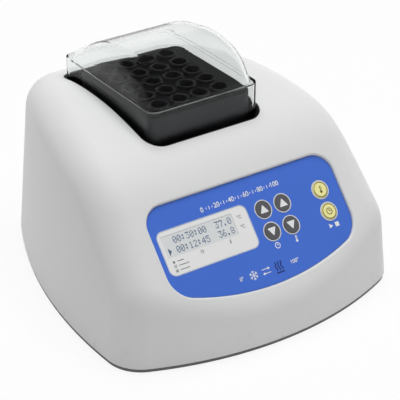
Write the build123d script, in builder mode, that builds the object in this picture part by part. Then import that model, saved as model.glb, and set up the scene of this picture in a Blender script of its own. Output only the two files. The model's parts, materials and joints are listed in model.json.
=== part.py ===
# Dry block heater: white moulded case, sloping control panel, 20 tube sockets under a clear lid.
# +X right, +Y back, +Z up, front faces -Y, origin on the table under the middle of the case. All mm.
import os
from math import sin, cos, radians
from build123d import *

os.makedirs("parts", exist_ok=True)

# ---- overall sizes ----
case_width = 244.0
case_depth = 262.0
case_height = 138.5          # highest point of the white case
lid_rise = 39.5              # highest point of the lid above the case
tilt = 48.0                  # panel slope from level, degrees
wall = 3.0
tube_hole = 10.8             # socket diameter, 1.5 ml tubes
tube_pitch = 17.5
tube_cols, tube_rows = 4, 5
panel_w, panel_top, panel_bot = 160.4, 17.0, 61.8
key_d = 12.4                 # key cap diameter
key_pitch = 17.0
key_travel = 0.6
fan_size = 92.0

# ---- clearances ----
seam = 0.3                   # between mouldings that meet in sight
run = 0.06                   # radial, turning parts
slide = 0.3                  # radial, keys in their holes
bolt_play = 0.25             # radial, screws in clearance holes
bolt_bite = 0.05             # radial, screws in their pilot holes
lead_bend = 2.5              # bends of the inner leads, times the lead's radius

# ---- case shape ----
y_front, y_back = -case_depth / 2, case_depth / 2 - 1.37
half_w = case_width / 2
side_y = -62.0               # where the plan is widest
front_r, side_r = 265.0, 390.0
corner_f, corner_b = 29.0, 30.0
draft_f, draft_s, draft_b = 0.085, 0.095, 0.03
foot_out = 1.5               # feet below the tray
tray_t = 2.5
tray_z = foot_out
case_z = tray_z + tray_t + seam
shoulder = 26.0              # rounding over the top edge

# ---- control panel plane: local x right, y up the slope, z out of the face ----
st, ct = sin(radians(tilt)), cos(radians(tilt))
pan_y, pan_z = -76.0 - (case_depth - 262.0) / 2, 87.6 + (case_height - 138.5)
pan = Plane(origin=(0, pan_y, pan_z), x_dir=(1, 0, 0), z_dir=(0, -st, ct))
sink_in = 2.0                # panel face below the case surface
film = 1.2                   # panel thickness
glass_sink = 0.2             # display face below the panel face
floor_in = -4.0              # inside face of the case behind the panel, in panel z


def slope(w, n):
    """Case Y and Z of a point w up the slope and n out of the panel face."""
    return (pan_y + w * ct - n * st, pan_z + w * st + n * ct)


def plan(z, t=0.0):
    """Plan outline of the case at height z, moved inwards by t."""
    cx = half_w - draft_s * z - side_r
    with BuildSketch(Plane.XY.offset(z)) as s:
        with Locations((0, y_front + draft_f * z + front_r)):
            Circle(front_r - t)
        with Locations(Location((cx, side_y, 0), (0, 0, 180))):
            Circle(side_r - t, mode=Mode.INTERSECT)
        with Locations((-cx, side_y)):
            Circle(side_r - t, mode=Mode.INTERSECT)
        with Locations((0, y_back - draft_b * z - t - 300)):
            Rectangle(700, 600, mode=Mode.INTERSECT)
        fillet(s.vertices().group_by(Axis.Y)[0], corner_f - t)
        fillet(s.vertices().group_by(Axis.Y)[-1], corner_b - t)
    return s.sketch


def side_face(drop, panel_n):
    """Side profile of the case top: panel slope, then the crown over the block."""
    k = case_height - 138.5
    crown = [(-33, 126), (-9, 132.3), (20, 137), (46, 138.4), (85, 135.4), (118, 127.5), (150, 116)]
    a, b = slope(-100, panel_n), slope(20, panel_n)
    pts = [(y, z + k - drop) for y, z in crown]
    with BuildSketch(Plane.YZ.offset(-200)) as s:
        with BuildLine():
            Line(a, b)
            Spline(b, *pts, tangents=[(ct, st), (0.94, -0.34)])
            Polyline(pts[-1], (150, -20), (a[0], -20), a)
        make_face()
    return s.sketch


def case_solid(t, z0, drop, panel_n, r):
    """Drafted plan cut by the side profile, with the rounded shoulder all round."""
    with BuildPart() as c:
        loft(sections=[plan(z0, t), plan(case_height + 26.5, t)], ruled=True)
        extrude(side_face(drop, panel_n), amount=400, mode=Mode.INTERSECT)
        ring = [e for e in c.edges() if e.bounding_box().min.Z > z0 + 1
                and not (e.bounding_box().size.Y < 0.01 and e.center().Y < y_back - 20)]
        fillet(ring, r)
    return c.part


def panel_face(grow=0.0):
    """Outline of the control panel in its own plane."""
    with BuildSketch() as s:
        with Locations((0, (panel_top - 100) / 2)):
            Rectangle(panel_w + 2 * grow, panel_top + 100 + 2 * grow)
        with Locations((0, 204 - panel_bot)):
            Circle(204 + grow, mode=Mode.INTERSECT)
        fillet(s.vertices().group_by(Axis.Y)[-1], 15 + grow)
        fillet(s.vertices().group_by(Axis.Y)[0], 20 + grow)
    return s.sketch


def block_rect(x0, x1, y0, y1, r):
    """Rounded rectangle by its edges."""
    with BuildSketch() as s:
        with Locations(((x0 + x1) / 2, (y0 + y1) / 2)):
            RectangleRounded(x1 - x0, y1 - y0, r)
    return s.sketch


def save(part, name):
    part.label = name
    export_step(part, f"parts/{name}.step")


# ---- block, surround, liner and lid, from the inside out ----
grid_x, grid_y = -2.0, 25.5
sockets = GridLocations(tube_pitch, tube_pitch, tube_cols, tube_rows)
socket_xy = [(grid_x + (i - (tube_cols - 1) / 2) * tube_pitch, grid_y + (j - (tube_rows - 1) / 2) * tube_pitch)
             for j in range(tube_rows) for i in range(tube_cols)]
reach_x = (tube_cols - 1) / 2 * tube_pitch + tube_hole / 2
reach_y = (tube_rows - 1) / 2 * tube_pitch + tube_hole / 2
bx = reach_x + 5.6           # block half width
by0, by1 = grid_y - reach_y - 3.0, grid_y + reach_y + 3.0
block_z, block_top = case_height - 38.5, case_height + 2.5
foam_t = 3.0
sx = bx + foam_t + 3.9       # surround outside half width
sy0, sy1 = by0 - foam_t - 2.6, by1 + foam_t + 2.6
plate_t = 3.0
collar_h = 2.4
plate_top = block_top + plate_t
lid_t = 2.0
ledge = 0.6                  # step from the lid's skirt to its domed top
lx = sx + 1.0 + lid_t        # lid skirt outside half width
ly0, ly1 = sy0 - 2.8 - lid_t, sy1 + 16.6 + lid_t
rx, ry0, ry1 = lx + 3.5, ly0 - 5.5, ly1 + 4.0    # recess in the case
liner_floor = case_height - 34.5
sink_top = block_z - 4.0
mid_y = (by0 + by1) / 2

# ---- case ----
outer = case_solid(0, case_z, 0, sink_in, shoulder)
inner = case_solid(wall, case_z - 1, wall, floor_in, shoulder - wall)
keys_uw = {"key_time_up": (12.4, -9.0), "key_temp_up": (12.4 + key_pitch, -9.0),
           "key_time_down": (12.4, -9.0 - key_pitch), "key_temp_down": (12.4 + key_pitch, -9.0 - key_pitch),
           "key_block_run": (63.8, -9.0), "key_timer_run": (63.8, -9.0 - key_pitch)}
win_c, win_w, win_h = (-38.6, -16.8), 74.8, 31.9          # display window
lcd_c, lcd_w, lcd_h = (-43.6, -12.0), 61.0, 17.0          # opening over the characters
board_uw = [(-76, 8), (0, 8), (76, 8), (-76, -44), (0, -44), (76, -44)]
case_bosses = [(s * x, y) for x, y in ((half_w - 8.2, side_y), (half_w - 43.5, y_back - 24.63), (60, y_front + 14.4))
               for s in (-1, 1)]
inlet_x, switch_x, rear_z = -29.0, 29.0, 30.0
rear_y = y_back - draft_b * rear_z

with BuildPart() as pocket:
    with BuildSketch(pan.offset(-film)):
        add(panel_face(0.4))
    extrude(amount=40)
with BuildPart() as bosses:
    with BuildSketch(Plane.XY.offset(case_z)):
        with Locations(*case_bosses):
            Circle(5.0)
    extrude(amount=30)
    add(outer, mode=Mode.INTERSECT)

with BuildPart() as housing:
    add(outer)
    add(inner, mode=Mode.SUBTRACT)
    # panel pocket with a soft rim
    add(pocket.part, mode=Mode.SUBTRACT)
    rim = [e for e in housing.edges() if abs(pan.to_local_coords(e.center()).Z - sink_in) < 0.02
           and abs(pan.to_local_coords(e.bounding_box().center()).Z - sink_in) < 30
           and abs(pan.to_local_coords(e.center()).X) < panel_w / 2 + 1
           and -panel_bot - 1 < pan.to_local_coords(e.center()).Y < panel_top + 1]
    fillet(rim, 1.7)
    # openings behind the keys and the characters
    with BuildSketch(pan.offset(-film)):
        with Locations(*keys_uw.values()):
            Circle(key_d / 2 + 2.0)
        with Locations(lcd_c):
            Rectangle(lcd_w + 8, lcd_h + 6)
    extrude(amount=-6, mode=Mode.SUBTRACT)
    # bosses for the display board
    with BuildSketch(pan.offset(-9.4)):
        with Locations(*board_uw):
            Circle(3.6)
    extrude(amount=9.4 + floor_in + 0.2)
    with BuildSketch(pan.offset(-9.4)):
        with Locations(*board_uw):
            Circle(1.25)
    extrude(amount=5.0, mode=Mode.SUBTRACT)
    # recess for the block
    with BuildSketch(Plane.XY.offset(sink_top - 6)):
        add(block_rect(-rx, rx, ry0, ry1, 14))
    extrude(amount=60, mode=Mode.SUBTRACT)
    # screw bosses down the inside of the wall
    add(bosses.part)
    with BuildSketch(Plane.XY.offset(case_z)):
        with Locations(*case_bosses):
            Circle(1.6 + bolt_bite)
    extrude(amount=22, mode=Mode.SUBTRACT)
    # air outlet slots and the two rear openings
    with BuildSketch(Plane.XZ.offset(-y_back - 5)):
        with Locations((0, 72)):
            with GridLocations(7.0, 1, 11, 1):
                SlotOverall(34, 3.0, rotation=90)
        with Locations((inlet_x, rear_z)):
            Circle(6.0 + 0.2)
        with Locations((switch_x, rear_z)):
            Rectangle(19.4, 13.2)
    extrude(amount=14, mode=Mode.SUBTRACT)
save(housing.part, "upper_housing")

# ---- base tray ----
fan_y = mid_y
fan_hole = 82.5 / 2 * fan_size / 92.0
fan_z, fan_t = 24.0, 25.0
fan_bosses = [(sx_ * fan_hole, fan_y + sy_ * fan_hole) for sx_ in (-1, 1) for sy_ in (-1, 1)]
sink_x = max(fan_size / 2 + 8.0, sx + 9.85)   # clear of the fan, with room for the cut-out
sink_y0, sink_y1 = min(by0 - 9.0, mid_y - fan_size / 2 - 6.4), max(by1 + 9.0, mid_y + fan_size / 2 + 6.4)
posts = [(x, y) for x in (-sink_x + 4.5, sink_x - 4.5) for y in (sink_y0 + 4.5, sink_y1 - 4.5)]
board_z = 12.0
main_x, main_y0, main_y1 = 74.0, -108.0, -40.0
main_holes = [(x, y) for x in (-69, 69) for y in (main_y0 + 5, main_y1 - 5)]
feet_xy = [(-92, -78), (92, -78), (-60, 90), (60, 90)]
sink_base = 8.0
rows = int((fan_size / 2 - 8) / 9.0)     # intake slots each side of the middle one

with BuildPart() as tray:
    add(plan(0, 1.0).moved(Location((0, 0, tray_z))))
    extrude(amount=tray_t)
    # lip inside the case wall
    with BuildSketch(Plane.XY.offset(tray_z + tray_t)):
        add(plan(0, wall + 1.6))
        add(plan(0, wall + 3.4), mode=Mode.SUBTRACT)
        with Locations(*case_bosses):
            Circle(6.0, mode=Mode.SUBTRACT)
    extrude(amount=6)
    with BuildSketch(Plane.XY.offset(tray_z + tray_t)):
        with Locations(*fan_bosses):
            Circle(4.5)
    extrude(amount=fan_z - tray_z - tray_t)
    with BuildSketch(Plane.XY.offset(tray_z + tray_t)):
        with Locations(*posts):
            Circle(4.3)
    extrude(amount=sink_top - sink_base - tray_z - tray_t)
    with BuildSketch(Plane.XY.offset(tray_z + tray_t)):
        with Locations(*main_holes):
            Circle(3.5)
    extrude(amount=board_z - tray_z - tray_t)
    # pilot holes
    with BuildSketch(Plane.XY.offset(fan_z)):
        with Locations(*fan_bosses):
            Circle(1.9 + bolt_bite)
    extrude(amount=-12, mode=Mode.SUBTRACT)
    with BuildSketch(Plane.XY.offset(sink_top - sink_base)):
        with Locations(*posts):
            Circle(1.9 + bolt_bite)
    extrude(amount=-14, mode=Mode.SUBTRACT)
    with BuildSketch(Plane.XY.offset(board_z)):
        with Locations(*main_holes):
            Circle(1.25)
    extrude(amount=-7, mode=Mode.SUBTRACT)
    # screw holes with sunk heads, foot seats, air intake slots
    with BuildSketch(Plane.XY.offset(tray_z - 1)):
        with Locations(*case_bosses):
            Circle(1.6 + bolt_play)
        for i in range(-rows, rows + 1):
            with Locations((0, fan_y + i * 9.0)):
                SlotOverall(2 * ((fan_size / 2 - 8) ** 2 - (i * 9.0) ** 2) ** 0.5, 4.5)
    extrude(amount=tray_t + 2, mode=Mode.SUBTRACT)
    with BuildSketch(Plane.XY.offset(tray_z - 1)):
        with Locations(*case_bosses):
            Circle(3.6)
    extrude(amount=1 + 1.4, mode=Mode.SUBTRACT)
    with BuildSketch(Plane.XY.offset(tray_z - 1)):
        with Locations(*feet_xy):
            Circle(8.2)
    extrude(amount=1 + 1.3, mode=Mode.SUBTRACT)
save(tray.part, "base_tray")

with BuildPart() as feet:
    with BuildSketch():
        with Locations(*feet_xy):
            Circle(8.0)
    extrude(amount=tray_z + 1.3)
    chamfer(feet.faces().filter_by(Axis.Z).group_by(Axis.Z)[0].edges(), 0.5)
save(feet.part, "feet")


def screws(spots, plane_z, up, head_r, head_h, shank_r, length):
    """Group of plain screws with hex-socket heads; the head sits on plane_z, shank along +Z or -Z."""
    s = 1 if up else -1
    with BuildPart() as g:
        with BuildSketch(Plane.XY.offset(plane_z)):
            with Locations(*spots):
                Circle(shank_r)
        extrude(amount=s * length)
        with BuildSketch(Plane.XY.offset(plane_z)):
            with Locations(*spots):
                Circle(head_r)
        extrude(amount=-s * head_h)
        with BuildSketch(Plane.XY.offset(plane_z - s * head_h)):
            with Locations(*spots):
                RegularPolygon(head_r * 0.48, 6)
        extrude(amount=s * head_h * 0.6, mode=Mode.SUBTRACT)
    return g.part


save(screws(case_bosses, tray_z + 1.4, True, 3.3, 1.2, 1.6, 18.0), "base_screws")

# ---- heat block ----
sensor_z = block_z + 2.6
clamp_xy = [(x, grid_y + s * tube_pitch * 1.5) for x in (-28.2, 28.2) for s in (-1, 1)]
with BuildPart() as block:
    with BuildSketch(Plane.XY.offset(block_z)):
        add(block_rect(-bx, bx, by0, by1, 3))
    extrude(amount=block_top - block_z)
    with Locations(*[(x, y, block_top) for x, y in socket_xy]):
        Cylinder(tube_hole / 2, 20, align=(Align.CENTER, Align.CENTER, Align.MAX), mode=Mode.SUBTRACT)
    with Locations(*[(x, y, block_top - 20) for x, y in socket_xy]):
        Cone(2.4, tube_hole / 2, 15, align=(Align.CENTER, Align.CENTER, Align.MAX), mode=Mode.SUBTRACT)
    with BuildSketch(Plane.XY.offset(block_z)):
        with Locations(*clamp_xy):
            Circle(2.0 + bolt_bite)
    extrude(amount=11, mode=Mode.SUBTRACT)
    # sensor pocket in the front face
    with BuildSketch(Plane.XZ.offset(-by0)):
        with Locations((-19.5, sensor_z)):
            Circle(1.6)
    extrude(amount=-14, mode=Mode.SUBTRACT)
save(block.part, "heat_block")

cell = min(40.0, (by1 - by0) / 2 - 3.4)        # two modules side by side under the block
pellets = int((cell - 1.8) / 4.2)
modules = [(0, mid_y - cell / 2 - 1.5), (0, mid_y + cell / 2 + 1.5)]
with BuildPart() as peltier:
    for m in modules:
        with Locations((m[0], m[1], sink_top + 0.1)):
            Box(cell, cell, 0.9, align=(Align.CENTER, Align.CENTER, Align.MIN))
        with Locations((m[0], m[1], block_z - 0.1)):
            Box(cell, cell, 0.9, align=(Align.CENTER, Align.CENTER, Align.MAX))
        with Locations((m[0], m[1], sink_top + 1.0)):
            with GridLocations(4.2, 4.2, pellets, pellets):
                Box(2.2, 2.2, block_z - sink_top - 2.0, align=(Align.CENTER, Align.CENTER, Align.MIN))
save(peltier.part, "peltier_modules")

with BuildPart() as jacket:
    with BuildSketch(Plane.XY.offset(sink_top + 0.2)):
        add(block_rect(-sx + 2.7, sx - 2.7, sy0 + 2.7, sy1 - 2.7, 5.2))
    extrude(amount=block_top - sink_top - 0.4)
    with BuildSketch(Plane.XY.offset(block_z - 0.1)):
        add(block_rect(-bx - 0.1, bx + 0.1, by0 - 0.1, by1 + 0.1, 3.1))
    extrude(amount=60, mode=Mode.SUBTRACT)
    with BuildSketch(Plane.XY.offset(sink_top)):
        with Locations(*modules):
            Rectangle(cell + 0.6, cell + 0.6)
        with Locations(*clamp_xy):
            Circle(2.6)
        with Locations((10, by0 - 1)):
            Rectangle(6, 16)
    extrude(amount=block_z - sink_top, mode=Mode.SUBTRACT)
    with BuildSketch(Plane.XZ.offset(-sy0)):
        with Locations((-19.5, sensor_z)):
            Circle(2.2)
    extrude(amount=-12, mode=Mode.SUBTRACT)
save(jacket.part, "insulation_jacket")

with BuildPart() as surround:
    with BuildSketch(Plane.XY.offset(sink_top + 0.3)):
        add(block_rect(-sx, sx, sy0, sy1, 8))
        add(block_rect(-sx + 2.5, sx - 2.5, sy0 + 2.5, sy1 - 2.5, 5.5), mode=Mode.SUBTRACT)
    extrude(amount=block_top - sink_top - 0.3)
    # gaps for the leads under the front wall
    with BuildSketch(Plane.XZ.offset(-sy0 + 3)):
        with Locations((10, sink_top)):
            Rectangle(6, 10)
        with Locations((-19.5, sensor_z)):
            Circle(2.2)
    extrude(amount=-8, mode=Mode.SUBTRACT)
save(surround.part, "block_surround")

with BuildPart() as plate:
    with BuildSketch(Plane.XY.offset(block_top)):
        add(block_rect(-sx, sx, sy0, sy1, 8))
    extrude(amount=plate_t)
    fillet(plate.faces().sort_by(Axis.Z)[-1].edges(), 1.4)
    with BuildSketch(Plane.XY.offset(plate_top)):
        with Locations(*socket_xy):
            Circle(tube_hole / 2 + 2.0)
    extrude(amount=collar_h)
    fillet(plate.faces().sort_by(Axis.Z)[-tube_cols * tube_rows:].edges(), 0.6)
    with BuildSketch(Plane.XY.offset(block_top)):
        with Locations(*socket_xy):
            Circle(tube_hole / 2 + 0.3)
    extrude(amount=plate_t + collar_h + 1, mode=Mode.SUBTRACT)
save(plate.part, "socket_plate")

# ---- dark liner of the recess: its top edge follows the crown of the case ----
with BuildPart() as crown_cut:
    extrude(side_face(1.2, sink_in), amount=400)
with BuildPart() as liner:
    with BuildSketch(Plane.XY.offset(liner_floor)):
        add(block_rect(-rx + seam, rx - seam, ry0 + seam, ry1 - seam, 14 - seam))
    extrude(amount=60)
    add(crown_cut.part, mode=Mode.INTERSECT)
    with BuildSketch(Plane.XY.offset(liner_floor + 2)):
        add(block_rect(-rx + seam + 2, rx - seam - 2, ry0 + seam + 2, ry1 - seam - 2, 12 - seam))
    extrude(amount=60, mode=Mode.SUBTRACT)
    with BuildSketch(Plane.XY.offset(liner_floor - 1)):
        add(block_rect(-sx - seam, sx + seam, sy0 - seam, sy1 + seam, 8 + seam))
    extrude(amount=6, mode=Mode.SUBTRACT)
save(liner.part, "recess_liner")

# ---- heat sink ----
fins_z = fan_z + fan_t + 3.5
with BuildPart() as sink:
    with Locations((0, (sink_y0 + sink_y1) / 2, sink_top)):
        Box(2 * sink_x, sink_y1 - sink_y0, sink_base, align=(Align.CENTER, Align.CENTER, Align.MAX))
    with Locations((0, mid_y, sink_top - sink_base)):
        with GridLocations(5.6, 1, 16, 1):
            Box(1.5, by1 - by0 + 4, sink_top - sink_base - fins_z, align=(Align.CENTER, Align.CENTER, Align.MAX))
    with BuildSketch(Plane.XY.offset(sink_top)):
        with Locations(*posts):
            Circle(1.9 + bolt_play)
        with Locations(*clamp_xy):
            Circle(2.0 + bolt_play)
    extrude(amount=-sink_base, mode=Mode.SUBTRACT)
    with BuildSketch(Plane.XY.offset(sink_top - sink_base)):
        with Locations(*clamp_xy):
            Circle(4.6)
    extrude(amount=-60, mode=Mode.SUBTRACT)
save(sink.part, "heat_sink")
save(screws(clamp_xy, sink_top - sink_base, True, 3.5, 3.4, 2.0, 21.0), "clamp_screws")
save(screws(posts, sink_top, False, 3.4, 2.6, 1.9, 20.0), "sink_screws")

# ---- fan ----
fan_r = fan_size / 2 - 2.8
hub_r = 17.0
with BuildPart() as fan:
    with BuildSketch(Plane.XY.offset(fan_z)):
        with Locations((0, fan_y)):
            RectangleRounded(fan_size, fan_size, 4)
            Circle(fan_r, mode=Mode.SUBTRACT)
        with Locations(*fan_bosses):
            Circle(1.9 + bolt_play, mode=Mode.SUBTRACT)
    extrude(amount=fan_t)
    # waist between the two flanges
    with BuildSketch(Plane.XY.offset(fan_z + 4)):
        with Locations((0, fan_y)):
            Rectangle(fan_size + 2, fan_size + 2)
            Circle(fan_size / 2 - 0.6, mode=Mode.SUBTRACT)
        with Locations(*fan_bosses):
            Circle(4.2, mode=Mode.SUBTRACT)
    extrude(amount=fan_t - 8, mode=Mode.SUBTRACT)
    # motor seat on four struts, with the axle
    with BuildSketch(Plane.XY.offset(fan_z)):
        with Locations((0, fan_y)):
            Circle(hub_r)
            Rectangle(2 * fan_r + 1, 4, rotation=45)
            Rectangle(2 * fan_r + 1, 4, rotation=-45)
    extrude(amount=3)
    with BuildSketch(Plane.XY.offset(fan_z + 3)):
        with Locations((0, fan_y)):
            Circle(2.0)
    extrude(amount=14)
save(fan.part, "fan_frame")

with BuildPart() as rotor:
    with BuildSketch(Plane.XY.offset(fan_z + 3.6)):
        with Locations((0, fan_y)):
            Circle(hub_r)
    extrude(amount=19.4)
    fillet(rotor.faces().sort_by(Axis.Z)[-1].edges(), 1.5)
    with BuildSketch(Plane.XY.offset(fan_z + 3)):
        with Locations((0, fan_y)):
            Circle(2.0 + run)
    extrude(amount=15, mode=Mode.SUBTRACT)
    for i in range(7):
        with Locations(Location((0, fan_y, fan_z + 12.6), (0, 0, i * 360 / 7))):
            with Locations(Location(((hub_r + fan_r) / 2 - 1.4, 0, 0), (38, 0, 0))):
                Box(fan_r - hub_r + 2, 21, 1.5)
    with Locations((0, fan_y, fan_z)):
        Cylinder(fan_r - 0.9, 40, align=(Align.CENTER, Align.CENTER, Align.MIN), mode=Mode.INTERSECT)
save(rotor.part, "fan_rotor")
save(screws(fan_bosses, fan_z + fan_t, False, 3.4, 2.4, 1.9, 34.0), "fan_screws")

with BuildPart() as guard:
    with BuildSketch(Plane.XY.offset(fan_z - 1.8)):
        with Locations((0, fan_y)):
            for k in (10.0, 21.0, 32.0, 42.0):
                r = k * fan_size / 92.0
                Circle(r + 0.8)
                Circle(r - 0.8, mode=Mode.SUBTRACT)
    extrude(amount=1.6)
    with BuildSketch(Plane.XY.offset(fan_z - 1.8)):
        with Locations((0, fan_y)):
            Rectangle(fan_size + 4, 1.8, rotation=45)
            Rectangle(fan_size + 4, 1.8, rotation=-45)
    extrude(amount=1.6)
save(guard.part, "finger_guard")

# ---- control panel ----
with BuildPart() as overlay:
    with BuildSketch(pan):
        add(panel_face())
        with Locations(*keys_uw.values()):
            Circle(key_d / 2 + slide, mode=Mode.SUBTRACT)
        with Locations(win_c):
            RectangleRounded(win_w + 0.3, win_h + 0.3, 5.15, mode=Mode.SUBTRACT)
    extrude(amount=-film)
save(overlay.part, "panel_overlay")

with BuildPart() as window:
    with BuildSketch(pan):
        with Locations(win_c):
            RectangleRounded(win_w, win_h, 5)
        with Locations(lcd_c):
            RectangleRounded(lcd_w, lcd_h, 1.2, mode=Mode.SUBTRACT)
    extrude(amount=-film)
save(window.part, "display_window")

with BuildPart() as rings:
    with BuildSketch(pan):
        with Locations(*keys_uw.values()):
            Circle(key_d / 2 + 1.0)
            Circle(key_d / 2 + slide, mode=Mode.SUBTRACT)
    extrude(amount=0.3)
save(rings.part, "key_rings")

for name, uw in keys_uw.items():
    with BuildPart() as key:
        with BuildSketch(pan.offset(-1.8)):
            with Locations(uw):
                Circle(key_d / 2)
        extrude(amount=1.8 + 0.9)
        fillet(key.faces().sort_by(Axis((0, 0, 0), (0, -st, ct)))[-1].edges(), 0.6)
        with BuildSketch(pan.offset(-2.9)):
            with Locations(uw):
                Circle(key_d / 2 + 1.2)
        extrude(amount=1.3)
        with BuildSketch(pan.offset(-4.9)):
            with Locations(uw):
                Circle(2.0)
        extrude(amount=2.2)
    save(key.part, name)

with BuildPart() as glass:
    with BuildSketch(pan.offset(-1.4)):
        with Locations(lcd_c):
            Rectangle(lcd_w + 5, lcd_h + 4)
    extrude(amount=-2.8)
    # raised face that fills the opening of the window
    with BuildSketch(pan.offset(-1.4)):
        with Locations(lcd_c):
            RectangleRounded(lcd_w - 2 * seam, lcd_h - 2 * seam, 1.2 - seam)
    extrude(amount=1.4 - glass_sink)
save(glass.part, "display_glass")

with BuildPart() as bezel:
    with BuildSketch(pan.offset(-4.2)):
        with Locations(lcd_c):
            Rectangle(lcd_w + 7, lcd_h + 5)
    extrude(amount=-5.2)
save(bezel.part, "display_frame")

with BuildPart() as disp_board:
    with BuildSketch(pan.offset(-9.4)):
        with Locations((0, -18)):
            RectangleRounded(162, 60, 3)
        with Locations(*board_uw):
            Circle(1.25 + bolt_play, mode=Mode.SUBTRACT)
    extrude(amount=-1.6)
save(disp_board.part, "display_board")

with BuildPart() as disp_screws:
    with BuildSketch(pan.offset(-11.0)):
        with Locations(*board_uw):
            Circle(1.2)
    extrude(amount=5.5)
    with BuildSketch(pan.offset(-11.0)):
        with Locations(*board_uw):
            Circle(2.6)
    extrude(amount=-1.8)
    with BuildSketch(pan.offset(-12.8)):
        with Locations(*board_uw):
            RegularPolygon(1.3, 6)
    extrude(amount=1.1, mode=Mode.SUBTRACT)
save(disp_screws.part, "display_board_screws")

with BuildPart() as switches:
    with BuildSketch(pan.offset(-9.4)):
        with Locations(*keys_uw.values()):
            Rectangle(6, 6)
    extrude(amount=3.0)
    with BuildSketch(pan.offset(-6.4)):
        with Locations(*keys_uw.values()):
            Circle(1.7)
    extrude(amount=0.8)
save(switches.part, "key_switches")

# ---- main board ----
with BuildPart() as main:
    with BuildSketch(Plane.XY.offset(board_z)):
        with Locations((0, (main_y0 + main_y1) / 2)):
            RectangleRounded(2 * main_x, main_y1 - main_y0, 3)
        with Locations(*main_holes):
            Circle(1.25 + bolt_play, mode=Mode.SUBTRACT)
    extrude(amount=1.6)
save(main.part, "main_board")
save(screws(main_holes, board_z + 1.6, False, 2.6, 2.0, 1.2, 7.0), "main_board_screws")
top = board_z + 1.6
with BuildPart() as caps:
    for x, y, r, h in ((-52, -60, 6.3, 20), (-36, -60, 6.3, 20), (-20, -60, 5.0, 16), (54, -58, 5.0, 16)):
        with Locations((x, y, top)):
            Cylinder(r, h, align=(Align.CENTER, Align.CENTER, Align.MIN))
    fillet(caps.faces().filter_by(Axis.Z).group_by(Axis.Z)[-1].edges(), 0.8)
save(caps.part, "capacitors")
with BuildPart() as chips:
    for x, y, w, d, h in ((0, -63, 14, 14, 1.6), (30, -92, 10, 6, 1.6), (-30, -90, 10, 6, 1.6), (48, -84, 12, 12, 6)):
        with Locations((x, y, top)):
            Box(w, d, h, align=(Align.CENTER, Align.CENTER, Align.MIN))
save(chips.part, "chips")
plugs = {"fan": (16, -48, 10, 6, 8), "cell": (34, -48, 14, 8, 10), "sense": (-2, -48, 8, 6, 8),
         "ribbon": (0, -84, 30, 7, 7), "power": (66, -58, 10, 14, 12)}
with BuildPart() as sockets_p:
    for x, y, w, d, h in plugs.values():
        with Locations((x, y, top)):
            Box(w, d, h, align=(Align.CENTER, Align.CENTER, Align.MIN))
save(sockets_p.part, "connectors")
with BuildPart() as cooler:
    with Locations((-62, -83, top)):
        Box(16, 30, 4, align=(Align.CENTER, Align.CENTER, Align.MIN))
    with Locations((-62, -83, top + 4)):
        with GridLocations(3.6, 1, 5, 1):
            Box(1.2, 30, 10, align=(Align.CENTER, Align.CENTER, Align.MIN))
save(cooler.part, "driver_cooler")


# ---- leads ----
def lead(points, r):
    """Round lead along straight runs with rounded bends."""
    with BuildPart() as w:
        with BuildLine() as path:
            FilletPolyline(*points, radius=lead_bend * r)
        with BuildSketch(Plane(origin=path.line @ 0, z_dir=path.line % 0)):
            Circle(r)
        sweep()
    return w.part


fan_front = fan_y - fan_size / 2
save(lead([(16, -48, top + 8.05), (16, -48, fan_z + 2.2), (30, -30, fan_z + 2.2), (30, fan_front - 0.05, fan_z + 2.2)],
          0.9), "fan_lead")
y_m, drop_y = modules[0][1] - cell / 2, sink_y0 - 7.5
with BuildPart() as cell_leads:
    for x, x_end in ((8.8, 31), (11.4, 37)):
        add(lead([(x, y_m - 0.05, sink_top + 2), (x, drop_y, sink_top + 2), (x, drop_y, 44), (x_end, -48, 34),
                  (x_end, -48, top + 10.05)], 1.0))
save(cell_leads.part, "peltier_leads")
with BuildPart() as sensor:
    with BuildSketch(Plane.XZ.offset(-by0 + 0.5)):
        with Locations((-19.5, sensor_z)):
            Circle(1.5)
    extrude(amount=-14)
save(sensor.part, "temperature_sensor")
save(lead([(-19.5, by0 - 0.55, sensor_z), (-19.5, drop_y, sensor_z), (-19.5, drop_y, 44), (-2, -48, 32),
           (-2, -48, top + 8.05)], 0.8), "sensor_lead")
with BuildPart() as cutout:
    with Locations(((sx + 0.4 + sink_x) / 2, mid_y, sink_top)):
        Box(8.4, 14, 1.5, align=(Align.CENTER, Align.CENTER, Align.MIN))
        Cylinder(3.9, 5.0, align=(Align.CENTER, Align.CENTER, Align.MIN))
save(cutout.part, "thermal_cutout")

ry, rz = slope(-34, -11.1)
with BuildPart() as ribbon:
    with BuildLine(Plane.YZ) as rp:
        Spline((ry, rz), (-83.6, 42), (-84, top + 7.1), tangents=[(st, -ct), (0, -1)])
    with BuildSketch(Plane(origin=rp.line @ 0, x_dir=(1, 0, 0), z_dir=rp.line % 0)):
        Rectangle(24, 1.0)
    sweep()
save(ribbon.part, "ribbon_cable")

# ---- rear: inlet, switch ----
back = Plane(origin=(0, rear_y, rear_z), x_dir=(-1, 0, 0), z_dir=(0, 1, 0))
with BuildPart() as inlet:
    with BuildSketch(back.offset(0.3)):
        with Locations((-inlet_x, 0)):
            Circle(8.0)
    extrude(amount=1.6)
    with BuildSketch(back.offset(0.3)):
        with Locations((-inlet_x, 0)):
            Circle(6.0)
    extrude(amount=-22)
    with BuildSketch(back.offset(1.9)):
        with Locations((-inlet_x, 0)):
            Circle(3.2)
    extrude(amount=-13, mode=Mode.SUBTRACT)
    with BuildSketch(back.offset(-11.2)):
        with Locations((-inlet_x, 0)):
            Circle(1.05)
    extrude(amount=10)
save(inlet.part, "power_inlet")
with BuildPart() as nut:
    with BuildSketch(back.offset(-wall - 0.35)):
        with Locations((-inlet_x, 0)):
            RegularPolygon(8.4, 6)
            Circle(6.05, mode=Mode.SUBTRACT)
    extrude(amount=-3)
save(nut.part, "inlet_nut")
rock_n = 1.0                 # rocker axle out from the rear face
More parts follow.
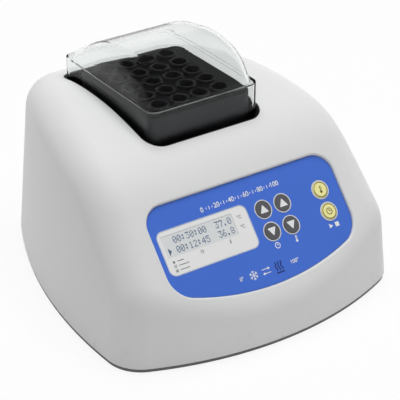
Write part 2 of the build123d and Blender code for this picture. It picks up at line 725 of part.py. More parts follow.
with BuildPart() as sw:
    with BuildSketch(back.offset(0.3)):
        with Locations((-switch_x, 0)):
            RectangleRounded(22, 16, 1.2)
    extrude(amount=1.6)
    with BuildSketch(back.offset(0.3)):
        with Locations((-switch_x, 0)):
            Rectangle(19.0, 12.8)
    extrude(amount=-18)
    with BuildSketch(back.offset(1.9)):
        with Locations((-switch_x, 0)):
            Rectangle(16.6, 10.6)
    extrude(amount=-8.0, mode=Mode.SUBTRACT)
save(sw.part, "power_switch")
rock = Plane(origin=(switch_x, rear_y + rock_n, rear_z), x_dir=(0, 1, 0), z_dir=(1, 0, 0))
with BuildPart() as rocker:
    with BuildSketch(rock.offset(-7.9)):
        Circle(4.6)
        with Locations((4.0, 0)):
            Rectangle(8.0, 20, mode=Mode.SUBTRACT)
        Polygon((-0.2, -4.4), (1.0, -4.4), (2.0, 4.4), (-0.2, 4.4), align=None)
    extrude(amount=15.8)
save(rocker.part, "power_rocker")
save(lead([(switch_x, rear_y - 17.75, rear_z), (switch_x, rear_y - 26, rear_z), (66, 90, top + 6), (66, -50.95, top + 6)],
          1.4), "switch_lead")
save(lead([(inlet_x, rear_y - 21.75, rear_z), (inlet_x, rear_y - 30, rear_z), (switch_x - 4, rear_y - 30, rear_z),
           (switch_x - 4, rear_y - 17.75, rear_z)], 1.4), "inlet_lead")
with BuildPart() as label:
    with BuildSketch(Plane.XY.offset(tray_z)):
        with Locations((0, -72)):
            RectangleRounded(70, 34, 2)
    extrude(amount=-0.3)
save(label.part, "rating_plate")

# ---- clear lid: straight skirt, a small ledge, then the domed top ----
lid_height = case_height + lid_rise
ledge_z = lid_height - 27.0
lid_z = liner_floor + 2.4
dome = [(0, 152, 15), (17, 173.2, 35), (45, 180.1, 70), (86, 172.7, 80), (118.2, 153.5, 15)]  # y, z, rounding


def dome_solid(t, r):
    """Arched top between the end walls, moved inwards by t, with rounded ends."""
    x = lx - ledge - t
    a, b = ly0 + ledge + t, ly1 - ledge - t
    s, arch = (b - a) / 118.2, (ly1 - ly0 - 2 * ledge) / 120.2
    pts = [(a + y * s, z + lid_height - 178.56 - t) for y, z, _ in dome]
    with BuildPart() as d:
        with BuildSketch(Plane.YZ.offset(-x)) as side:
            with BuildLine():
                Polyline((a, lid_height - 58), *pts, (b, lid_height - 58), close=True)
            make_face()
            for (y, z), (_, _, bend) in zip(pts, dome):
                fillet(min(side.vertices(), key=lambda q: abs(q.X - y) + abs(q.Y - z)), bend * arch - t)
        extrude(amount=2 * x)
        fillet([e for e in d.edges() if e.bounding_box().size.X < 0.01 and e.bounding_box().max.Z > lid_height - 57], r)
        with Locations((0, 0, ledge_z - 2.0)):
            Box(400, 400, 80, align=(Align.CENTER, Align.CENTER, Align.MIN), mode=Mode.INTERSECT)
    return d.part


with BuildPart() as lid:
    with BuildSketch(Plane.XY.offset(lid_z)):
        add(block_rect(-lx, lx, ly0, ly1, 7))
    extrude(amount=ledge_z - lid_z)
    fillet(lid.faces().sort_by(Axis.Z)[-1].edges(), 0.5)
    add(dome_solid(0, 14))
    with BuildSketch(Plane.XY.offset(lid_z)):
        add(block_rect(-lx + lid_t, lx - lid_t, ly0 + lid_t, ly1 - lid_t, 5))
    extrude(amount=ledge_z - 2.0 - lid_z, mode=Mode.SUBTRACT)
    add(dome_solid(lid_t, 12), mode=Mode.SUBTRACT)
save(lid.part, "lid")
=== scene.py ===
# Dry block heater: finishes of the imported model, printed marks, studio. Metres, in the model's own frame.
import json
import math

import bmesh
import bpy
from mathutils import Matrix, Vector


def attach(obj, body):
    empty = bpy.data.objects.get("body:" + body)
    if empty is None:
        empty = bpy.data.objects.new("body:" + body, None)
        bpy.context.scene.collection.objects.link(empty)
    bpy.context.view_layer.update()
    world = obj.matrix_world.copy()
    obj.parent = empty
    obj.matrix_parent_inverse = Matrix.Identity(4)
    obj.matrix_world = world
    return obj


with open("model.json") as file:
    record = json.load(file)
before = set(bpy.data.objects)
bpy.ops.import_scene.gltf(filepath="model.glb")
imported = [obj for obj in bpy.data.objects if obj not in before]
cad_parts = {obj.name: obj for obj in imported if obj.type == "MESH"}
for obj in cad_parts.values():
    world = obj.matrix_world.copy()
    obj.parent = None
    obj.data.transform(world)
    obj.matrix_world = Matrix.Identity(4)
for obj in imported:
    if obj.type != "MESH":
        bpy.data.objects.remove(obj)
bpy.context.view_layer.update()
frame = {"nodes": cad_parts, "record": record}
MM = 0.001

# ---- control panel plane: u right, w up the slope, n out of the face; its sizes in millimetres ----
TILT = math.radians(48.0)
PANEL_Y, PANEL_Z = -0.076, 0.0876
PANEL = Matrix(((1, 0, 0, 0),
                (0, math.cos(TILT), -math.sin(TILT), PANEL_Y),
                (0, math.sin(TILT), math.cos(TILT), PANEL_Z),
                (0, 0, 0, 1)))
WINDOW_AT, WINDOW_WIDE, WINDOW_HIGH = (-38.6, -16.8), 74.8, 31.9
OPENING_AT = (-43.6, -12.0)  # opening of the window over the characters
GLASS_N = -0.2               # face of the character display
KEY_N = 0.9                  # top face of the keys
CHAR_PITCH = 3.53            # from one character of the display to the next
CHAR_LEFT = 71.9             # left edge of the first character's cell, left of the middle
DOT_U, DOT_W = 0.60, 0.70    # from one dot of a character to the next
# middle of each key
KEYS = {"key_time_up": (12.4, -9.0), "key_temp_up": (29.4, -9.0),
        "key_time_down": (12.4, -26.0), "key_temp_down": (29.4, -26.0),
        "key_block_run": (63.8, -9.0), "key_timer_run": (63.8, -26.0)}
ROCKER_X, ROCKER_Y, ROCKER_Z = 0.029, 0.13123, 0.030     # middle of the rocker's face, metres


# ================= materials =================
class Wire:
    """A socket of a material's tree; arithmetic on it adds Math nodes."""

    def __init__(self, finish, socket):
        self.finish, self.socket = finish, socket

    def math(self, operation, *values):
        return self.finish.node("ShaderNodeMath", {"operation": operation}, dict(enumerate(values)))

    def __add__(self, other):
        return self.math("ADD", self, other)

    def __radd__(self, other):
        return self.math("ADD", other, self)

    def __sub__(self, other):
        return self.math("SUBTRACT", self, other)

    def __rsub__(self, other):
        return self.math("SUBTRACT", other, self)

    def __mul__(self, other):
        return self.math("MULTIPLY", self, other)

    def __rmul__(self, other):
        return self.math("MULTIPLY", other, self)

    def only(self, operation):
        """Math of this value alone."""
        return self.math(operation, self)

    def above(self, edge, soft):
        """0 below edge, 1 above edge + soft, smooth between."""
        return self.finish.node("ShaderNodeMapRange", {"interpolation_type": "SMOOTHSTEP"},
                                {0: self, 1: edge, 2: edge + soft, 3: 0.0, 4: 1.0})


class Finish:
    """A procedural material around one Principled shader."""

    def __init__(self, name, **settings):
        self.material = bpy.data.materials.new(name)
        self.material.use_nodes = True
        self.tree = self.material.node_tree
        self.tree.nodes.clear()
        self.output = self.tree.nodes.new("ShaderNodeOutputMaterial")
        self.shader = self.tree.nodes.new("ShaderNodeBsdfPrincipled")
        self.tree.links.new(self.shader.outputs[0], self.output.inputs["Surface"])
        for key, value in settings.items():
            self.shader.inputs[key.replace("_", " ").title().replace("Ior", "IOR")].default_value = value

    def node(self, kind, settings=None, values=None, out=0):
        """A new node with its properties and inputs set or linked; gives one of its outputs."""
        made = self.tree.nodes.new(kind)
        for key, value in (settings or {}).items():
            setattr(made, key, value)
        for key, value in (values or {}).items():
            if isinstance(value, Wire):
                self.tree.links.new(value.socket, made.inputs[key])
            else:
                made.inputs[key].default_value = value
        return Wire(self, made.outputs[out])

    def set(self, key, value):
        self.tree.links.new(value.socket, self.shader.inputs[key])

    def place(self, scale=(1, 1, 1), turn=(0, 0, 0)):
        """Object coordinates, turned and scaled."""
        where = self.node("ShaderNodeTexCoord", out="Object")
        return self.node("ShaderNodeMapping", None, {0: where, 2: turn, 3: scale})

    def noise(self, size, detail=3.0, rough=0.55, at=None):
        """Noise 0 to 1 whose blobs are about size metres across."""
        return self.node("ShaderNodeTexNoise", None, {"Vector": at or self.place(), "Scale": 1.0 / size,
                                                      "Detail": detail, "Roughness": rough})

    def cells(self, size):
        """Distance to the middle of round cells about size metres apart."""
        return self.node("ShaderNodeTexVoronoi", None, {"Vector": self.place(), "Scale": 1.0 / size})

    def blend(self, factor, a, b):
        """Colour a to colour b as factor goes from 0 to 1."""
        a, b = (value if isinstance(value, Wire) else (*value, 1.0) for value in (a, b))
        return self.node("ShaderNodeMix", {"data_type": "RGBA"}, {0: factor, 6: a, 7: b}, out=2)

    def bump(self, height, distance, strength=1.0):
        """Raises the surface by up to distance metres where height is 1."""
        self.set("Normal", self.node("ShaderNodeBump", None, {"Height": height, "Distance": distance,
                                                              "Strength": strength}))

    def wear(self):
        """About 0 in hollows, 0.5 on flats, 1 on sharp outer edges."""
        return self.node("ShaderNodeNewGeometry", out="Pointiness")


def shade(colour, k):
    """A colour made k times as bright."""
    return tuple(min(1.0, c * k) for c in colour)


def moulded(name, colour, rough, grain=0.0004, depth=0.00002, tone=0.05, low_dark=0.0, **more):
    """Moulded plastic: fine spark-eroded grain, slow tone drift, faint handling marks."""
    f = Finish(name, roughness=rough, **more)
    drift = f.noise(0.06, 2.0)
    grains = f.noise(grain, 2.0, 0.6)
    marks = f.noise(0.012, 5.0, 0.7).above(0.56, 0.22)
    base = f.blend(drift, shade(colour, 1 - tone), shade(colour, 1 + tone * 0.5))
    base = f.blend(grains * 0.25, base, shade(colour, 1 - 1.6 * tone))
    # darker in patches towards the bottom of the part, down to 0.72 of its colour
    if low_dark:
        z = f.node("ShaderNodeSeparateXYZ", None, {0: f.place()}, out="Z")
        low = 1.0 - z.above(0.004, 0.022)
        base = f.blend(low * marks * low_dark, base, shade(colour, 0.72))
    f.set("Base Color", base)
    f.set("Roughness", rough + grains * 0.10 - 0.05 + marks * 0.05)
    f.bump(grains + drift * 0.3, depth)
    return f.material


def printed(name, colour, rough=0.4, tone=0.04):
    """Screen-printed ink: slight mottle and a faint ridge of mesh marks."""
    f = Finish(name, roughness=rough)
    mottle = f.noise(0.0012, 3.0)
    f.set("Base Color", f.blend(mottle, shade(colour, 1 - tone), shade(colour, 1 + tone)))
    f.set("Roughness", rough - 0.05 + mottle * 0.1)
    f.bump(f.noise(0.00025, 1.0), 0.000006)
    return f.material


def metal(name, colour, rough, stretch=(1, 1, 1), depth=0.00001, blotch=0.08):
    """Bare metal with drawn or turned lines along the unstretched axis."""
    f = Finish(name, metallic=1.0, roughness=rough)
    lines = f.noise(0.0006, 3.0, 0.6, f.place(stretch))
    blot = f.noise(0.02, 3.0)
    f.set("Base Color", f.blend(blot, shade(colour, 1 - blotch), shade(colour, 1 + blotch * 0.5)))
    f.set("Roughness", rough - 0.08 + lines * 0.16)
    f.bump(lines, depth)
    return f.material


def anodised(name, colour, rough):
    """Black anodised aluminium: fine blasted grain, slightly lighter on edges."""
    f = Finish(name, metallic=0.55, roughness=rough)
    grain = f.noise(0.00035, 2.0, 0.65)
    edge = f.wear().above(0.52, 0.08)
    base = f.blend(f.noise(0.02, 2.0), shade(colour, 0.85), shade(colour, 1.15))
    f.set("Base Color", f.blend(edge * (0.3 + 0.5 * grain), base, shade(colour, 2.6)))
    f.set("Roughness", rough - 0.06 + grain * 0.14)
    f.bump(grain, 0.000018)
    return f.material


def board(name):
    """Circuit board: solder resist over tracks, with tinned pads."""
    f = Finish(name, roughness=0.35, coat_weight=0.3)
    tracks = f.node("ShaderNodeTexBrick", {"offset": 0.37}, {"Vector": f.place(), "Scale": 160.0,
                                                             "Mortar Size": 0.022}, out="Fac")
    pads = 1.0 - f.cells(0.0025).above(0.17, 0.05)
    green = f.blend(tracks, (0.015, 0.13, 0.05), (0.03, 0.24, 0.09))
    green = f.blend(f.noise(0.01) * 0.4, green, (0.01, 0.10, 0.045))
    f.set("Base Color", f.blend(pads, green, (0.62, 0.62, 0.60)))
    f.set("Metallic", pads * 0.9)
    f.bump(tracks * 0.5 + pads, 0.00003)
    return f.material


def foam(name):
    """Closed-cell foam: round pores, with painted shade darkening their hollows."""
    f = Finish(name, roughness=0.92)
    pores_and_shade = f.cells(0.0011)
    # painted shade: pore hollows darker than the cell walls between them
    f.set("Base Color", f.blend(pores_and_shade, (0.03, 0.03, 0.03), (0.13, 0.13, 0.13)))
    f.bump(pores_and_shade, 0.00025)
    return f.material


def sleeve(name, colour):
    """Soft lead insulation."""
    f = Finish(name, roughness=0.55)
    dust = f.noise(0.004, 4.0)
    f.set("Base Color", f.blend(dust, shade(colour, 0.85), shade(colour, 1.2)))
    f.set("Roughness", 0.48 + dust * 0.18)
    f.bump(f.noise(0.0005), 0.00002)
    return f.material


CORE_PITCH = 0.00127         # cores of the flat cable


def ribbon(name):
    """Flat cable: grey cores side by side with shallow valleys, painted darker in the valleys as shade."""
    f = Finish(name, roughness=0.5)
    across = f.node("ShaderNodeSeparateXYZ", None, {0: f.place()}, out="X")
    cores_and_shade = (across * (2 * math.pi / CORE_PITCH)).only("SINE")
    # painted shade: valleys between the cores darker, crowns lighter
    f.set("Base Color", f.blend(cores_and_shade * 0.5 + 0.5, (0.36, 0.37, 0.39), (0.60, 0.61, 0.63)))
    f.bump(cores_and_shade, 0.0002)
    return f.material


def film(name, colour):
    """Printed polyester film of the control panel: fine matt texture under a satin coat."""
    f = Finish(name, roughness=0.42, coat_weight=0.15, coat_roughness=0.35)
    fine = f.noise(0.00030, 2.0, 0.6)
    drift = f.noise(0.05, 2.0)
    base = f.blend(drift, shade(colour, 0.95), shade(colour, 1.05))
    f.set("Base Color", f.blend(fine * 0.35, base, shade(colour, 1.18)))
    f.set("Roughness", 0.36 + fine * 0.14)
    f.bump(fine, 0.00001)
    return f.material


def display(name, back, cell):
    """Face of the character display: pale ground with the faint cells of the characters."""
    f = Finish(name, roughness=0.22, coat_weight=0.5, coat_roughness=0.08)
    across = f.node("ShaderNodeSeparateXYZ", None, {0: f.place()}, out="X")
    column = ((across + CHAR_LEFT * MM) * (1 / (CHAR_PITCH * MM))).only("FRACT")
    inside = column.above(0.03, 0.03) * (1.0 - column.above(0.81, 0.03))
    base = f.blend(f.noise(0.03, 2.0), shade(back, 0.97), shade(back, 1.02))
    f.set("Base Color", f.blend(inside * 0.5, base, cell))
    f.set("Roughness", 0.16 + f.noise(0.01, 3.0) * 0.1)
    f.bump(inside, 0.000004)
    return f.material


def clear(name):
    """Clear moulded lid: almost colourless, faint flow lines and hairline scratches."""
    f = Finish(name, transmission_weight=1.0, roughness=0.02, ior=1.14, coat_weight=0.15, coat_roughness=0.03)
    flow = f.noise(0.035, 2.0, 0.4)
    hair = f.noise(0.004, 3.0, 0.6, f.place((1, 14, 1), (0.3, 0.2, 0.5))).above(0.62, 0.10)
    f.set("Base Color", f.blend(flow, (0.90, 0.92, 0.915), (0.93, 0.945, 0.94)))
    f.set("Roughness", 0.012 + hair * 0.04)
    f.bump(flow, 0.00004, 0.5)
    return f.material


def ceramic(name):
    """Fired ceramic plate: fine speckle."""
    f = Finish(name, roughness=0.45)
    speck = f.noise(0.001, 3.0)
    f.set("Base Color", f.blend(speck, (0.78, 0.78, 0.75), (0.90, 0.90, 0.88)))
    f.bump(speck, 0.00001)
    return f.material


FINISHES = {
    "case_white": moulded("case_white", (0.79, 0.80, 0.795), 0.42, 0.00045, 0.000022, 0.012, 0.5,
                          coat_weight=0.08, coat_roughness=0.3),
    "tray_dark": moulded("tray_dark", (0.15, 0.152, 0.156), 0.6, 0.0005, 0.00004, 0.12),
    "foot_rubber": moulded("foot_rubber", (0.02, 0.02, 0.02), 0.82, 0.0003, 0.00004, 0.2),
    "label_grey": printed("label_grey", (0.62, 0.63, 0.64), 0.45),
    "block_black": anodised("block_black", (0.008, 0.008, 0.010), 0.5),
    "surround_dark": moulded("surround_dark", (0.038, 0.038, 0.043), 0.5, 0.0012, 0.000008, 0.06,
                             specular_ior_level=0.2),
    "liner_dark": moulded("liner_dark", (0.010, 0.010, 0.011), 0.55, 0.0004, 0.00003, 0.15,
                          specular_ior_level=0.2),
    "foam": foam("foam"),
    "cell_ceramic": ceramic("cell_ceramic"),
    "sink_alu": metal("sink_alu", (0.60, 0.61, 0.63), 0.38, (1, 0.04, 1)),
    "steel": metal("steel", (0.56, 0.56, 0.57), 0.32, (1, 1, 0.08)),
    "fan_black": moulded("fan_black", (0.018, 0.018, 0.018), 0.5, 0.0004, 0.00003, 0.15),
    "panel_blue": film("panel_blue", (0.060, 0.170, 0.690)),
    "window_grey": film("window_grey", (0.86, 0.865, 0.86)),
    "lcd_glass": display("lcd_glass", (0.82, 0.84, 0.845), (0.76, 0.79, 0.805)),
    "ring_light": printed("ring_light", (0.80, 0.81, 0.82), 0.4),
    "key_grey": moulded("key_grey", (0.115, 0.115, 0.125), 0.45, 0.0003, 0.00002, 0.08),
    "key_yellow": moulded("key_yellow", (0.98, 0.92, 0.40), 0.45, 0.0003, 0.00002, 0.05),
    "board_green": board("board_green"),
    "component_black": moulded("component_black", (0.022, 0.022, 0.023), 0.45, 0.0004, 0.00003, 0.15),
    "connector_white": moulded("connector_white", (0.74, 0.73, 0.68), 0.5, 0.0005, 0.00002, 0.05),
    "ribbon_grey": ribbon("ribbon_grey"),
    "lead_black": sleeve("lead_black", (0.02, 0.02, 0.02)),
    "lead_red": sleeve("lead_red", (0.42, 0.03, 0.02)),
    "lead_white": sleeve("lead_white", (0.70, 0.70, 0.68)),
    "rocker_black": moulded("rocker_black", (0.012, 0.012, 0.012), 0.22, 0.0006, 0.000008, 0.2),
    "lid_clear": clear("lid_clear"),
}
INKS = {
    "ink_white": printed("ink_white", (0.86, 0.88, 0.90), 0.42),
    "ink_pale_blue": printed("ink_pale_blue", (0.48, 0.58, 0.80), 0.4),
    "ink_navy": printed("ink_navy", (0.012, 0.020, 0.11), 0.4, 0.2),
    "ink_slate": printed("ink_slate", (0.16, 0.18, 0.22), 0.45, 0.1),
    "ink_olive": printed("ink_olive", (0.16, 0.14, 0.035), 0.45, 0.1),
    "lcd_ink": printed("lcd_ink", (0.075, 0.15, 0.27), 0.3, 0.06),
}

for part in frame["record"]["subparts"]:
    shown = frame["nodes"][part["node"]]
    shown.data.materials.clear()
    shown.data.materials.append(FINISHES[part["material_slot"]])


# ================= marks =================
BOLD = 0.022                 # figures' strokes thickened by this share of their height
FONT_SIZE = 1.38             # font size that gives figures of height 1
HAIR, HAIRS = 0.0004, 40     # each next shape stands this much higher, up to that many times


class Marks:
    """Flat shapes drawn in millimetres on a plane, then raised by a thin layer of ink."""

    def __init__(self, thick=0.05):
        self.bm, self.thick, self.count = bmesh.new(), thick, 0

    @staticmethod
    def faces_of(verts):
        return list({face for v in verts for face in v.link_faces})

    def raise_ink(self, faces):
        """Gives flat faces the thickness of the ink; each shape a hair higher than the last."""
        self.count += 1
        made = bmesh.ops.extrude_face_region(self.bm, geom=faces)["geom"]
        bmesh.ops.translate(self.bm, vec=(0, 0, self.thick + HAIR * (self.count % HAIRS)),
                            verts=[g for g in made if isinstance(g, bmesh.types.BMVert)])

    def soften(self, verts, radius, segments):
        """Rounds the corners of a flat face."""
        return bmesh.ops.bevel(self.bm, geom=verts, offset=radius, offset_type="OFFSET", segments=segments,
                               profile=0.5, affect="VERTICES", material=-1)["verts"]

    def polygon(self, sides, r, at, turn=0.0, soft=0.0):
        """Filled regular polygon, with rounded corners where soft is given."""
        place = Matrix.Translation((*at, 0)) @ Matrix.Rotation(turn, 4, "Z")
        made = bmesh.ops.create_circle(self.bm, cap_ends=True, segments=sides, radius=r,
                                       matrix=place)["verts"]
        self.raise_ink(self.faces_of(self.soften(made, soft, 3) if soft else made))

    def bar(self, a, b, wide):
        """Straight stroke from a to b."""
        a, b = Vector(a), Vector(b)
        along = b - a
        turn = Matrix.Rotation(math.atan2(along.y, along.x), 4, "Z")
        size = Matrix.Diagonal((along.length / 2, wide / 2, 1, 1))
        place = Matrix.Translation((*((a + b) / 2), 0)) @ turn @ size
        made = bmesh.ops.create_grid(self.bm, x_segments=1, y_segments=1, size=1.0, matrix=place)["verts"]
        self.raise_ink(self.faces_of(made))

    def line(self, points, wide):
        """Strokes from point to point."""
        for a, b in zip(points, points[1:]):
            self.bar(a, b, wide)

    def ring(self, r_out, r_in, at, sides=28):
        """Round ring."""
        made = bmesh.ops.create_circle(self.bm, cap_ends=True, segments=sides, radius=r_out,
                                       matrix=Matrix.Translation((*at, 0)))["verts"]
        self.hollow(self.faces_of(made), r_out - r_in)

    def hollow(self, faces, wide):
        """Keeps a rim of that width of a flat face."""
        rim = bmesh.ops.inset_individual(self.bm, faces=faces, thickness=wide, use_even_offset=True)["faces"]
        bmesh.ops.delete(self.bm, geom=faces, context="FACES_ONLY")
        self.raise_ink(rim)

    def rounded_frame(self, wide, high, soft, rim, at):
        """Outline of a rounded rectangle."""
        place = Matrix.Translation((*at, 0)) @ Matrix.Diagonal((wide / 2, high / 2, 1, 1))
        made = bmesh.ops.create_grid(self.bm, x_segments=1, y_segments=1, size=1.0, matrix=place)["verts"]
        self.hollow(self.faces_of(self.soften(made, soft, 8)), rim)

    def number(self, text, high, at):
        """Figures about that high, centred on at."""
        curve = bpy.data.curves.new("figures", "FONT")
        curve.body, curve.size, curve.offset = text, high * FONT_SIZE, high * BOLD
        curve.align_x, curve.align_y = "CENTER", "CENTER"
        source = bpy.data.objects.new("figures", curve)
        mesh = bpy.data.meshes.new_from_object(source)
        mesh.transform(Matrix.Translation((*at, 0)))
        old = set(self.bm.faces)
        self.bm.from_mesh(mesh)
        self.raise_ink([face for face in self.bm.faces if face not in old])
        bpy.data.objects.remove(source)
        bpy.data.meshes.remove(mesh)

    def piece(self, name, ink, body, plane, n=0.0):
        """Lays the marks n millimetres above a plane and makes them a piece."""
        bmesh.ops.remove_doubles(self.bm, verts=self.bm.verts[:], dist=1e-5)
        bmesh.ops.recalc_face_normals(self.bm, faces=self.bm.faces[:])
        self.bm.transform(plane @ Matrix.Translation((0, 0, n * MM)) @ Matrix.Scale(MM, 4))
        mesh = bpy.data.meshes.new(name)
        self.bm.to_mesh(mesh)
        self.bm.free()
        mesh.materials.append(ink)
        made = bpy.data.objects.new(name, mesh)
        bpy.context.scene.collection.objects.link(made)
        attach(made, body)


def snowflake(m, at, r, wide):
    """Six arms with two side branches each."""
    for k in range(6):
        a = math.radians(60 * k + 30)
        way, side = Vector((math.cos(a), math.sin(a))), Vector((-math.sin(a), math.cos(a)))
        hub = Vector(at)
        m.bar(hub + way * 0.08 * r, hub + way * r, wide)
        for s in (-1, 1):
            m.bar(hub + way * 0.55 * r, hub + way * 0.88 * r + side * s * 0.28 * r, wide * 0.9)


def clock(m, at, r, wide):
    """Round dial with two hands."""
    m.ring(r, r - wide, at)
    hub = Vector(at)
    m.bar(hub, hub + Vector((0, 0.62 * r)), wide * 0.9)
    m.bar(hub, hub + Vector((0.5 * r, 0)), wide * 0.9)


def thermometer(m, at, r, wide):
    """Bulb, stem and three graduations."""
    x, y = at
    m.polygon(16, 0.42 * r, (x, y - 0.62 * r))
    m.bar((x, y - 0.5 * r), (x, y + r), wide)
    for k in (0.1, 0.5, 0.9):
        m.bar((x + wide * 0.8, y + k * r), (x + wide * 0.8 + 0.3 * r, y + k * r), wide * 0.7)


def arrow(m, a, b, wide, head):
    """Stroke from a to b with a filled head."""
    a, b = Vector(a), Vector(b)
    way = (b - a).normalized()
    m.bar(a, b - way * head * 0.9, wide)
    m.polygon(3, head * 0.75, b - way * head * 0.7, math.atan2(way.y, way.x) - math.pi / 2)


def waves(m, at, r, wide):
    """Three wavy strokes side by side."""
    for k in (-1, 0, 1):
        x = at[0] + k * 0.72 * r
        m.line([(x + 0.16 * r * math.sin(t * math.pi / 4), at[1] - r + r * t / 6) for t in range(13)], wide)


# ---- number scale along the top of the panel: 0 to 100, three graduations between figures ----
SCALE_U, SCALE_W, SCALE_STEP, SCALE_RISE = -34.5, 4.6, 12.7, 0.22
STROKE = 0.5
print_white = Marks()
for k in range(6):
    u, w = SCALE_U + SCALE_STEP * k, SCALE_W + SCALE_RISE * k
    print_white.number(str(20 * k), 3.7, (u, w))
    for back, long in ((8.9, 0.7), (6.4, 1.3), (3.9, 0.7)) if k else ():
        print_white.bar((u - back, w - long), (u - back, w + long), STROKE)

# ---- symbols under the keys: time, temperature, run and stop ----
CAPTION_W = -36.6
clock(print_white, (12.4, CAPTION_W), 2.3, 0.55)
thermometer(print_white, (29.0, CAPTION_W), 2.4, 0.75)
print_white.polygon(3, 2.1, (60.4, CAPTION_W), math.radians(-90))
print_white.bar((64.6, CAPTION_W), (68.0, CAPTION_W), 3.4)

# ---- temperature range along the bottom: cold, arrows both ways, hot ----
print_white.number("0°", 2.9, (-25.6, -50.7))
print_white.number("100°", 2.9, (20.4, -51.2))
snowflake(print_white, (-15.4, -50.9), 3.5, STROKE)
arrow(print_white, (-8.0, -49.4), (-1.0, -49.4), STROKE, 1.7)
arrow(print_white, (-1.0, -52.6), (-8.0, -52.6), STROKE, 1.7)
print_white.piece("panel_print", INKS["ink_white"], "case", PANEL)

print_navy = Marks()
waves(print_navy, (6.4, -50.6), 3.3, 0.85)
print_navy.bar((3.0, -55.2), (9.8, -55.2), 0.9)
print_navy.piece("heat_waves", INKS["ink_navy"], "case", PANEL, 0.0)

# ---- line round the display window, and round its opening over the characters ----
border = Marks(0.12)
border.rounded_frame(WINDOW_WIDE + 1.3, WINDOW_HIGH + 1.3, 5.6, 0.5, WINDOW_AT)
border.piece("display_border", INKS["ink_pale_blue"], "case", PANEL)

gasket = Marks()
gasket.rounded_frame(62.0, 18.0, 1.6, 1.1, OPENING_AT)
gasket.piece("display_gasket", FINISHES["window_grey"], "case", PANEL, 0.0)

# ---- small marks on the display window ----
legend = Marks(0.03)
clock(legend, (-46.5, -22.8), 1.35, 0.35)
thermometer(legend, (-22.5, -22.8), 1.4, 0.45)
LIST_U, LIST_W, LIST_STEP, LIST_TEXT_U = -70.4, -23.4, 3.15, -67.6
legend.polygon(4, 1.15, (LIST_U, LIST_W), math.radians(45))
waves(legend, (LIST_U, -26.5), 1.2, 0.3)
snowflake(legend, (LIST_U, -29.7), 1.3, 0.3)
for k, long in enumerate((5.2, 8.4, 7.6)):
    w = LIST_W - LIST_STEP * k
    legend.bar((LIST_TEXT_U, w), (LIST_TEXT_U + long, w), 0.55)
for w in (-8.5, -15.7):
    legend.number("°C", 2.4, (-8.4, w))
legend.piece("window_marks", INKS["ink_slate"], "case", PANEL, 0.0)

# ---- dots of the character display ----
DOTS = {"0": "01110 10001 10011 10101 11001 10001 01110", "1": "00100 01100 00100 00100 00100 00100 01110",
        "2": "01110 10001 00001 00010 00100 01000 11111", "3": "11111 00010 00100 00010 00001 10001 01110",
        "4": "00010 00110 01010 10010 11111 00010 00010", "5": "11111 10000 11110 00001 00001 10001 01110",
        "6": "00110 01000 10000 11110 10001 10001 01110", "7": "11111 10001 00001 00010 00100 00100 00100",
        "8": "01110 10001 10001 01110 10001 10001 01110", ":": "00000 01100 01100 00000 01100 01100 00000",
        ".": "00000 00000 00000 00000 00000 01100 01100", ">": "01000 01100 01110 01111 01110 01100 01000"}
FIRST_U, DOT_WIDE, DOT_HIGH = -70.15, 0.57, 0.66
lcd = Marks(0.02)
for text, w in (("  00:30:00  37.0", -8.55), ("> 00:12:45  36.8", -15.75)):
    for column, letter in enumerate(text):
        for row, lit in enumerate(DOTS.get(letter, "").split()):
            for k, on in enumerate(lit):
                if on == "1":
                    u = FIRST_U + column * CHAR_PITCH + (k - 2) * DOT_U
                    v = w + (3 - row) * DOT_W
                    lcd.bar((u - DOT_WIDE / 2, v), (u + DOT_WIDE / 2, v), DOT_HIGH)
lcd.piece("display_characters", INKS["lcd_ink"], "case", PANEL, GLASS_N)

# ---- marks on the keys ----
for key, (u, w) in KEYS.items():
    marks = Marks(0.06)
    if key.endswith("run"):
        marks.ring(5.75, 5.15, (u, w), 40)
        (clock if "timer" in key else thermometer)(marks, (u, w), 2.6, 0.6)
        marks.piece(key + "_mark", INKS["ink_olive"], key, PANEL, KEY_N)
    else:
        up = 1 if key.endswith("up") else -1
        marks.polygon(3, 4.1, (u, w - 0.7 * up), math.radians(0 if up > 0 else 180), 0.6)
        marks.piece(key + "_mark", INKS["ink_white"], key, PANEL, KEY_N)

# ---- on and off marks on the two halves of the rocker ----
LEAN = math.atan(1.0 / 8.8)  # lean of the rocker's face at rest
ROCKER = Matrix(((-1, 0, 0, ROCKER_X),
                 (0, math.sin(LEAN), math.cos(LEAN), ROCKER_Y),
                 (0, math.cos(LEAN), -math.sin(LEAN), ROCKER_Z),
                 (0, 0, 0, 1)))
on_off = Marks()
on_off.bar((0, 1.2), (0, 3.2), 0.5)
on_off.ring(1.15, 0.75, (0, -2.2))
on_off.piece("rocker_marks", INKS["ink_white"], "rocker", ROCKER)


# ================= floor, light, camera =================
AMBIENT = 0.315              # light of the world on the object
DIM_CEILING = 0.12           # what gloss sees overhead; white at the horizon
FLOOR_GLOW = 0.90            # share of plain white in the floor as it is seen


def background(tree):
    """1 for rays that look at the background: straight from the camera, or through gloss and glass."""
    path = tree.nodes.new("ShaderNodeLightPath")
    total = path.outputs["Is Camera Ray"]
    for name in ("Is Glossy Ray", "Is Transmission Ray"):
        most = tree.nodes.new("ShaderNodeMath")
        most.operation = "MAXIMUM"
        tree.links.new(total, most.inputs[0])
        tree.links.new(path.outputs[name], most.inputs[1])
        total = most.outputs[0]
    return total


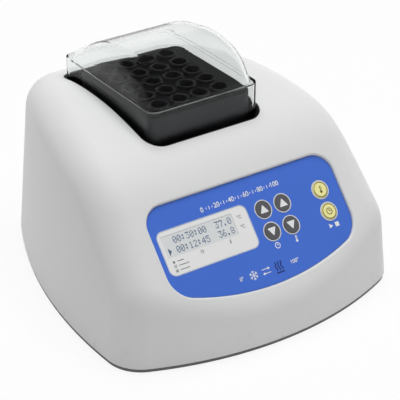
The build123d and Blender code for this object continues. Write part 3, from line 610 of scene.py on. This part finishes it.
world = bpy.data.worlds.new("studio")
bpy.context.scene.world = world
world.use_nodes = True
sky = world.node_tree
sky.nodes.clear()
seen, lit = sky.nodes.new("ShaderNodeBackground"), sky.nodes.new("ShaderNodeBackground")
way, height = sky.nodes.new("ShaderNodeTexCoord"), sky.nodes.new("ShaderNodeSeparateXYZ")
shades = sky.nodes.new("ShaderNodeValToRGB")
sky.links.new(way.outputs["Generated"], height.inputs[0])
sky.links.new(height.outputs["Z"], shades.inputs[0])
for stop, (at, tone) in zip(shades.color_ramp.elements, ((0.25, 1.0), (0.50, DIM_CEILING))):
    stop.position, stop.color = at, (tone, tone, tone, 1)
gloss, hue = sky.nodes.new("ShaderNodeLightPath"), sky.nodes.new("ShaderNodeMix")
hue.data_type = "RGBA"
sky.links.new(gloss.outputs["Is Glossy Ray"], hue.inputs[0])
hue.inputs[6].default_value = (1, 1, 1, 1)
sky.links.new(shades.outputs[0], hue.inputs[7])
sky.links.new(hue.outputs[2], seen.inputs["Color"])
lit.inputs["Color"].default_value, lit.inputs["Strength"].default_value = (1.0, 0.99, 0.985, 1), AMBIENT
pick, end = sky.nodes.new("ShaderNodeMixShader"), sky.nodes.new("ShaderNodeOutputWorld")
sky.links.new(background(sky), pick.inputs[0])
sky.links.new(lit.outputs[0], pick.inputs[1])
sky.links.new(seen.outputs[0], pick.inputs[2])
sky.links.new(pick.outputs[0], end.inputs["Surface"])

bm = bmesh.new()
bmesh.ops.create_grid(bm, x_segments=4, y_segments=4, size=4.0)
mesh = bpy.data.meshes.new("floor")
bm.to_mesh(mesh)
bm.free()
floor = bpy.data.objects.new("floor", mesh)
bpy.context.scene.collection.objects.link(floor)
paper = Finish("paper_floor", roughness=0.85, specular_ior_level=0.1)
paper.set("Base Color", paper.blend(paper.noise(0.4, 2.0), (0.87, 0.87, 0.87), (0.89, 0.89, 0.89)))
glow, over = paper.tree.nodes.new("ShaderNodeEmission"), paper.tree.nodes.new("ShaderNodeMixShader")
share = paper.node("ShaderNodeMath", {"operation": "MULTIPLY"}, {1: FLOOR_GLOW})
paper.tree.links.new(background(paper.tree), share.socket.node.inputs[0])
paper.tree.links.new(share.socket, over.inputs[0])
paper.tree.links.new(paper.shader.outputs[0], over.inputs[1])
paper.tree.links.new(glow.outputs[0], over.inputs[2])
paper.tree.links.new(over.outputs[0], paper.output.inputs["Surface"])
floor.data.materials.append(paper.material)


def lamp(name, at, towards, size, power):
    """Round soft lamp that no gloss or glass shows."""
    data = bpy.data.lights.new(name, "AREA")
    data.shape, data.size, data.energy = "DISK", size, power
    made = bpy.data.objects.new(name, data)
    made.location = at
    made.rotation_euler = (Vector(towards) - Vector(at)).to_track_quat("-Z", "Y").to_euler()
    made.visible_glossy = made.visible_transmission = False
    bpy.context.scene.collection.objects.link(made)


lamp("top_soft", (0.15, 0.25, 1.8), (0, 0, 0.1), 1.0, 19.3)
lamp("front_soft", (0.45, -0.60, 1.9), (0, 0, 0.08), 0.9, 6.6)

CAMERA_AT, LENS, SENSOR = (-0.5979, -0.8859, 0.6596), 146.7, 36.0
LOOK, DROP, ROLL = math.radians(34.65), math.radians(29.53), math.radians(0.27)
camera = bpy.data.cameras.new("camera")
camera.sensor_width, camera.lens = SENSOR, LENS
camera.clip_start, camera.clip_end = 0.05, 20.0
viewer = bpy.data.objects.new("camera", camera)
forward = Vector((math.sin(LOOK) * math.cos(DROP), math.cos(LOOK) * math.cos(DROP), -math.sin(DROP)))
right = forward.cross(Vector((0, 0, 1))).normalized()
up = right.cross(forward)
right, up = right * math.cos(ROLL) + up * math.sin(ROLL), up * math.cos(ROLL) - right * math.sin(ROLL)
viewer.matrix_world = Matrix.Translation(CAMERA_AT) @ Matrix((right, up, -forward)).transposed().to_4x4()
bpy.context.scene.collection.objects.link(viewer)
bpy.context.scene.camera = viewer
bpy.context.scene.view_settings.view_transform = "Standard"

bpy.context.view_layer.update()
